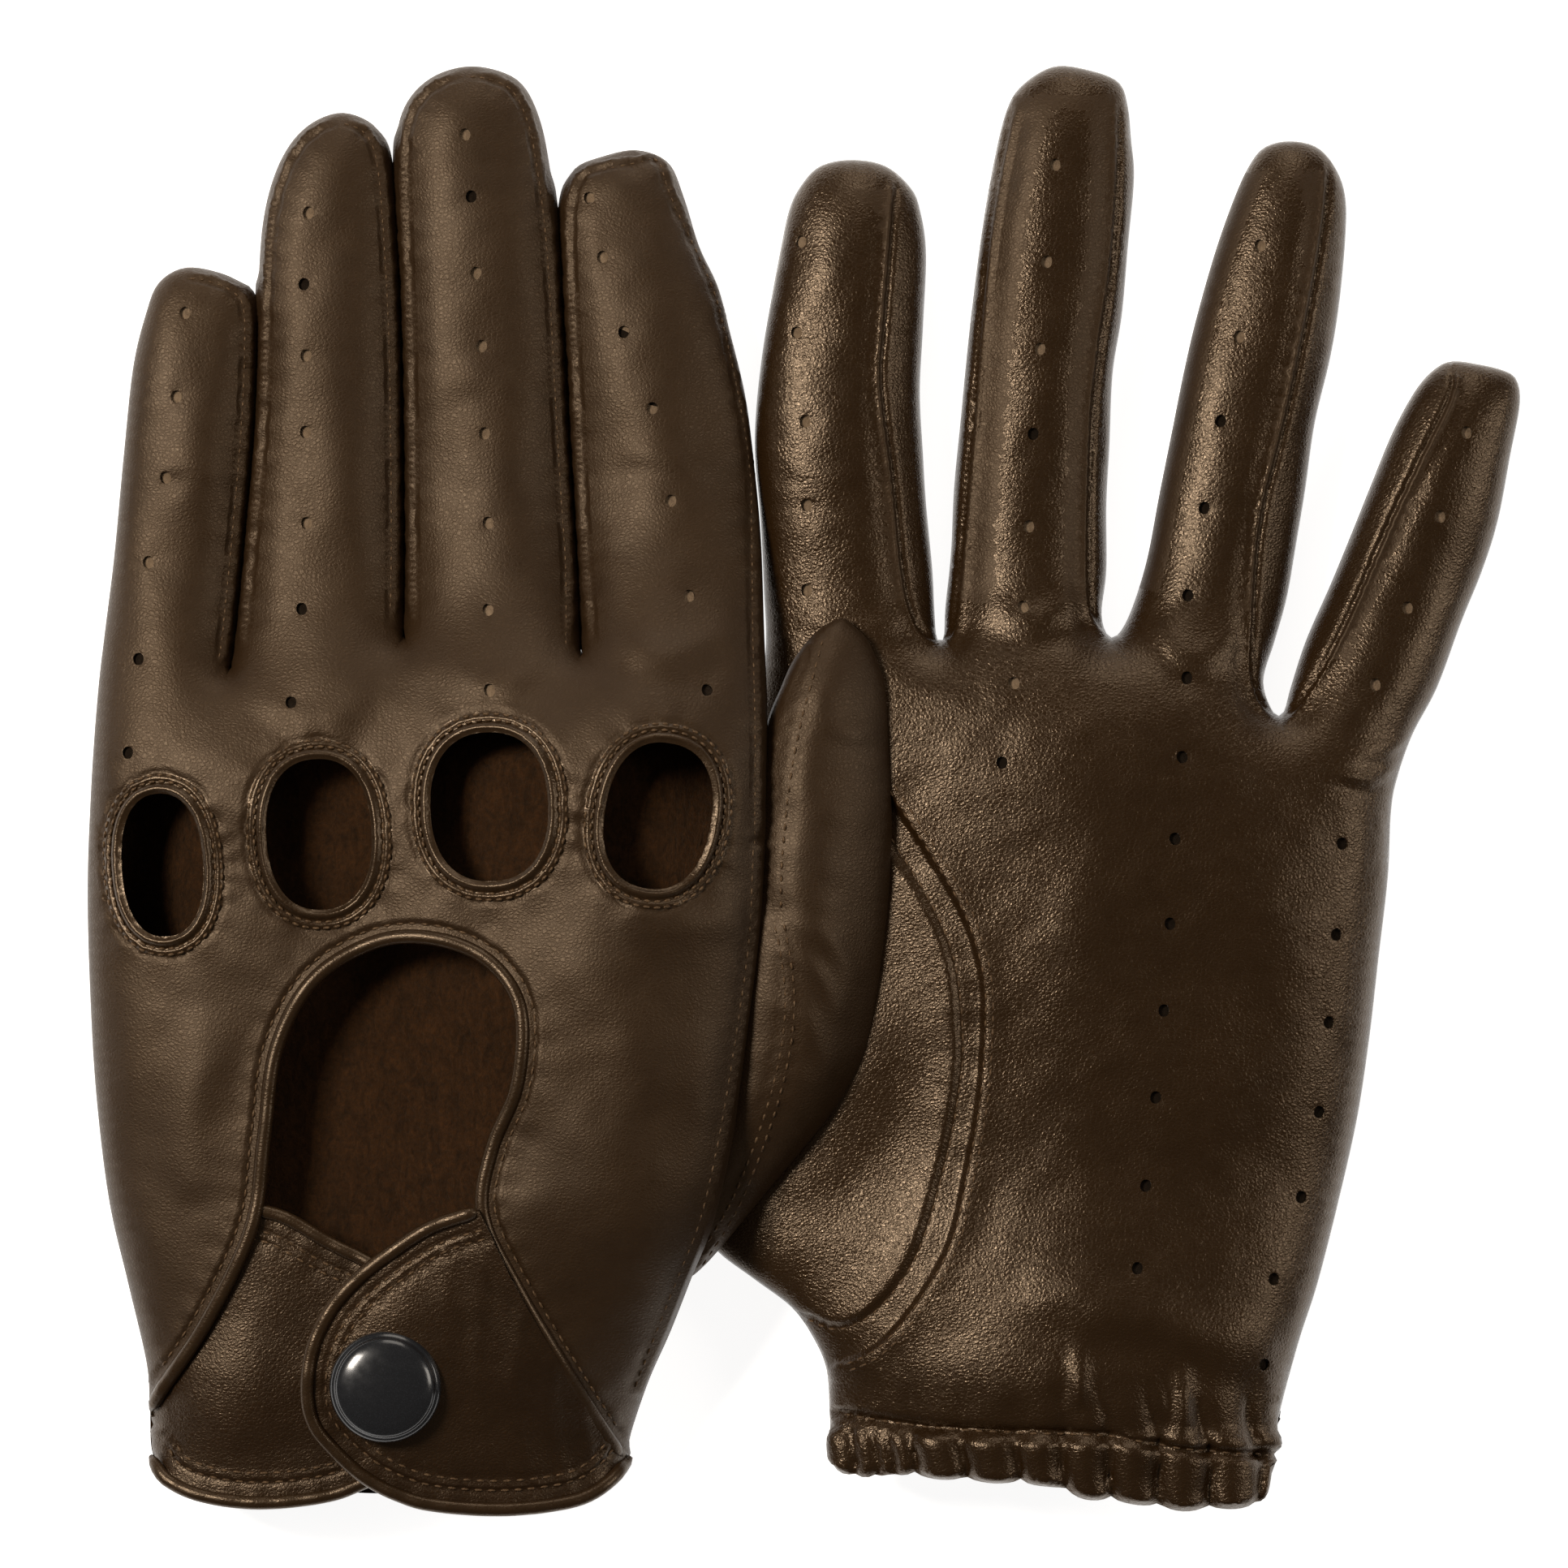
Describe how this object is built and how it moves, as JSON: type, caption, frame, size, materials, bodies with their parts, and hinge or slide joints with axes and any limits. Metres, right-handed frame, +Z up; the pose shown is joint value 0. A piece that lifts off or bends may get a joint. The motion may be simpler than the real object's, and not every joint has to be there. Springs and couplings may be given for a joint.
{
  "type": "leather driving gloves",
  "caption": "Pair of unlined leather driving gloves laid out flat, one back up and one palm up, with open knuckles, a keyhole back and a snap strap at the wrist.",
  "frame": {"origin": "centre of the bounding box at the surface that the pair lies on", "axes": "+Z up from that surface, +Y towards the fingertips, +X from the back-up glove towards the palm-up glove"},
  "size_m": [0.2284, 0.23, 0.0354],
  "materials": {
    "leather": "dark brown smooth lambskin, semi-matt, fine grain",
    "edge_leather": "dark brown rolled leather binding, semi-gloss",
    "elastic": "dark woven elastic, matt",
    "cap_enamel": "dark grey enamel, glossy",
    "stud_metal": "plain steel"
  },
  "bodies": {
    "lower_hand": {"lower_little_knuckle_ring": "edge_leather", "lower_ring_knuckle_ring": "edge_leather", "lower_middle_knuckle_ring": "edge_leather", "lower_index_knuckle_ring": "edge_leather", "lower_back_panel": "leather", "lower_palm_panel": "leather", "lower_palm_hem": "leather", "lower_wrist_elastic": "elastic", "lower_window_binding": "edge_leather", "lower_thumb": "leather", "lower_under_tab": "leather", "lower_under_tab_binding": "edge_leather", "lower_snap_stud": "stud_metal", "lower_snap_post": "stud_metal"},
    "lower_little": {"lower_little_fourchette_by_ring": "leather", "lower_little_finger": "leather"},
    "lower_ring": {"lower_ring_fourchette_by_little": "leather", "lower_ring_fourchette_by_middle": "leather", "lower_ring_finger": "leather"},
    "lower_middle": {"lower_middle_fourchette_by_ring": "leather", "lower_middle_fourchette_by_index": "leather", "lower_middle_finger": "leather"},
    "lower_index": {"lower_index_fourchette_by_middle": "leather", "lower_index_finger": "leather"},
    "lower_strap": {"lower_strap_tab": "leather", "lower_strap_binding": "edge_leather", "lower_snap_cap": "cap_enamel", "lower_snap_socket": "stud_metal"},
    "upper_hand": {"upper_little_knuckle_ring": "edge_leather", "upper_ring_knuckle_ring": "edge_leather", "upper_middle_knuckle_ring": "edge_leather", "upper_index_knuckle_ring": "edge_leather", "upper_back_panel": "leather", "upper_palm_panel": "leather", "upper_palm_hem": "leather", "upper_wrist_elastic": "elastic", "upper_window_binding": "edge_leather", "upper_thumb_gusset": "leather", "upper_under_tab": "leather", "upper_under_tab_binding": "edge_leather", "upper_snap_stud": "stud_metal", "upper_snap_post": "stud_metal"},
    "upper_little": {"upper_little_fourchette_by_ring": "leather", "upper_little_finger": "leather"},
    "upper_ring": {"upper_ring_fourchette_by_little": "leather", "upper_ring_fourchette_by_middle": "leather", "upper_ring_finger": "leather"},
    "upper_middle": {"upper_middle_fourchette_by_ring": "leather", "upper_middle_fourchette_by_index": "leather", "upper_middle_finger": "leather"},
    "upper_index": {"upper_index_fourchette_by_middle": "leather", "upper_index_finger": "leather"},
    "upper_thumb": {"upper_thumb": "leather"},
    "upper_strap": {"upper_strap_tab": "leather", "upper_strap_binding": "edge_leather", "upper_snap_cap": "cap_enamel", "upper_snap_socket": "stud_metal"}
  },
  "joints": [
    {"name": "upper_lift", "type": "slide", "parent": "lower_hand", "child": "upper_hand", "axis": [0, 0, 1], "range_m": [0, 0.12]},
    {"name": "lower_index_curl", "type": "hinge", "parent": "lower_hand", "child": "lower_index", "pos_m": [0.00729, 0.02908, 0.01586], "axis": [0.9994, 0.0352, 0], "range_deg": [0, 75]},
    {"name": "lower_middle_curl", "type": "hinge", "parent": "lower_hand", "child": "lower_middle", "pos_m": [0.03646, 0.02907, 0.01579], "axis": [0.9995, -0.0303, 0], "range_deg": [0, 75]},
    {"name": "lower_ring_curl", "type": "hinge", "parent": "lower_hand", "child": "lower_ring", "pos_m": [0.06582, 0.0291, 0.01532], "axis": [0.9801, -0.1986, 0], "range_deg": [0, 75]},
    {"name": "lower_little_curl", "type": "hinge", "parent": "lower_hand", "child": "lower_little", "pos_m": [0.09167, 0.01811, 0.01419], "axis": [0.9431, -0.3326, 0], "range_deg": [0, 75]},
    {"name": "lower_strap_open", "type": "hinge", "parent": "lower_hand", "child": "lower_strap", "pos_m": [0.02043, -0.09047, 0.00369], "axis": [0.4724, 0.8696, -0.1437], "range_deg": [0, 120]},
    {"name": "upper_index_lift", "type": "hinge", "parent": "upper_hand", "child": "upper_index", "pos_m": [-0.0203, 0.0282, 0.02364], "axis": [0.9997, 0.0237, 0], "range_deg": [0, 35]},
    {"name": "upper_middle_lift", "type": "hinge", "parent": "upper_hand", "child": "upper_middle", "pos_m": [-0.04911, 0.02924, 0.01894], "axis": [0.9998, 0.0218, 0], "range_deg": [0, 35]},
    {"name": "upper_ring_lift", "type": "hinge", "parent": "upper_hand", "child": "upper_ring", "pos_m": [-0.07639, 0.02807, 0.01583], "axis": [1, -0.0029, 0], "range_deg": [0, 35]},
    {"name": "upper_little_lift", "type": "hinge", "parent": "upper_hand", "child": "upper_little", "pos_m": [-0.10085, 0.02011, 0.01382], "axis": [0.9992, -0.0412, 0], "range_deg": [0, 35]},
    {"name": "upper_strap_open", "type": "hinge", "parent": "upper_hand", "child": "upper_strap", "pos_m": [-0.04253, -0.09047, 0.0244], "axis": [-0.4096, 0.8839, 0.2256], "range_deg": [0, 120]},
    {"name": "upper_thumb_lift", "type": "hinge", "parent": "upper_hand", "child": "upper_thumb", "pos_m": [-0.00044, -0.04554, 0.0304], "axis": [0.9285, -0.3714, 0], "range_deg": [0, 40]}
  ]
}
